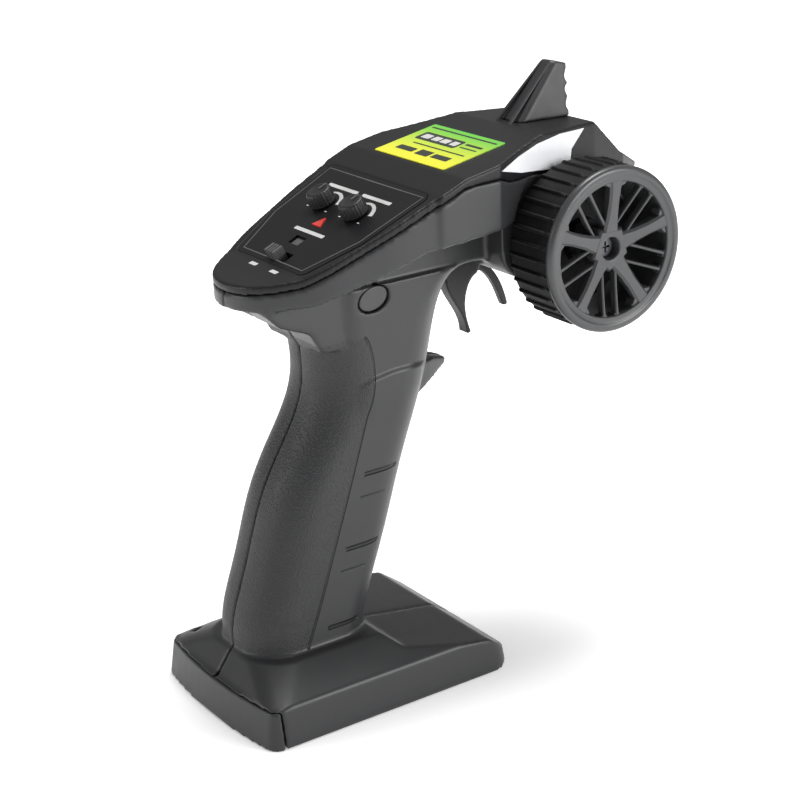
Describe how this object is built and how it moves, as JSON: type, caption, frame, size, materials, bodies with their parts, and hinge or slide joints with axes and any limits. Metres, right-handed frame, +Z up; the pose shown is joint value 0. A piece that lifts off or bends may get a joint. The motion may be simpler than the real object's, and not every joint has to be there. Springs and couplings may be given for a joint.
{
  "type": "radio transmitter controller",
  "caption": "Pistol-grip radio transmitter for a model car, with a steering wheel, a throttle trigger, trim knobs, an antenna fin and a flat battery foot.",
  "frame": {"origin": "middle of the underside of the foot", "axes": "+Z up, +Y forward and away from the user, +X to the side that carries the steering wheel"},
  "size_m": [0.0803, 0.175, 0.1868],
  "materials": {
    "shell": "moulded, very fine grain, satin",
    "cover": "moulded, smooth satin",
    "panel_sheet": "printed sheet, smooth",
    "control_cap": "moulded, satin",
    "rim_plastic": "moulded, satin",
    "tyre_rubber": "ribbed rubber",
    "label_print": "yellow to green printed film",
    "sticker_film": "light grey film",
    "lens_red": "clear red plastic",
    "steel": "zinc plated",
    "spring_steel": "oiled spring wire",
    "contact_metal": "nickel plated",
    "brass": "turned",
    "board": "solder-masked circuit board",
    "chip": "epoxy package",
    "internal_plastic": "moulded, plain",
    "cell_wrap": "printed sleeve"
  },
  "bodies": {
    "casing": {"antenna_fin": "cover", "antenna_rod": "steel", "battery_box": "internal_plastic", "battery_cell_1": "cell_wrap", "battery_cell_2": "cell_wrap", "battery_cell_3": "cell_wrap", "battery_cell_4": "cell_wrap", "bind_switch": "chip", "control_panel": "panel_sheet", "cover_screws": "steel", "led_lens": "lens_red", "left_contacts": "contact_metal", "left_dial_control": "internal_plastic", "left_shell": "shell", "left_sticker": "sticker_film", "main_board": "board", "main_board_screws": "steel", "name_label": "label_print", "panel_board": "board", "panel_board_screws": "steel", "power_switch_body": "internal_plastic", "processor": "chip", "radio_module": "chip", "right_contacts": "contact_metal", "right_dial_control": "internal_plastic", "right_shell": "shell", "right_sticker": "sticker_film", "shaft_bush": "brass", "shell_screws": "steel", "side_board": "board", "side_switch": "chip", "steering_pot": "internal_plastic", "steering_spring": "spring_steel", "throttle_pot": "internal_plastic", "top_cover": "cover", "trigger_spring": "spring_steel"},
    "steering_wheel": {"wheel_rim": "rim_plastic", "wheel_tyre": "tyre_rubber", "steering_shaft": "steel", "wheel_screw": "steel", "spring_cup": "internal_plastic"},
    "trigger_lever": {"trigger": "control_cap", "trigger_spindle": "steel"},
    "left_trim_knob": {"left_knob": "control_cap"},
    "right_trim_knob": {"right_knob": "control_cap"},
    "switch_slider": {"power_switch_slider": "control_cap"},
    "bind_key": {"bind_button": "control_cap"},
    "side_key": {"side_button": "control_cap"},
    "battery_hatch": {"battery_door": "shell"}
  },
  "joints": [
    {"name": "steer", "type": "hinge", "parent": "casing", "child": "steering_wheel", "pos_m": [0.0355, 0.08, 0.1357], "axis": [1, 0, 0], "range_deg": [-35, 35], "stiffness_Nm_per_rad": 0.06},
    {"name": "throttle", "type": "hinge", "parent": "casing", "child": "trigger_lever", "pos_m": [0, 0.057, 0.1345], "axis": [-1, 0, 0], "range_deg": [-8, 12], "stiffness_Nm_per_rad": 0.08},
    {"name": "left_trim", "type": "hinge", "parent": "casing", "child": "left_trim_knob", "pos_m": [-0.009, 0.01, 0.15261], "axis": [0, -0.4065, 0.9136], "range_deg": [-140, 140]},
    {"name": "right_trim", "type": "hinge", "parent": "casing", "child": "right_trim_knob", "pos_m": [0.009, 0.01, 0.15261], "axis": [0, -0.4065, 0.9136], "range_deg": [-140, 140]},
    {"name": "power_switch", "type": "slide", "parent": "casing", "child": "switch_slider", "axis": [1, 0, 0], "range_m": [0, 0.004]},
    {"name": "bind_press", "type": "slide", "parent": "casing", "child": "bind_key", "axis": [0, 0.4065, -0.9136], "range_m": [0, 0.0003], "stiffness_N_per_m": 400, "springref_m": -0.0001},
    {"name": "side_press", "type": "slide", "parent": "casing", "child": "side_key", "axis": [-1, 0, 0], "range_m": [0, 0.0006], "stiffness_N_per_m": 400, "springref_m": -0.0001},
    {"name": "battery_hatch_slide", "type": "slide", "parent": "casing", "child": "battery_hatch", "axis": [0, -1, 0], "range_m": [0, 0.06]}
  ]
}
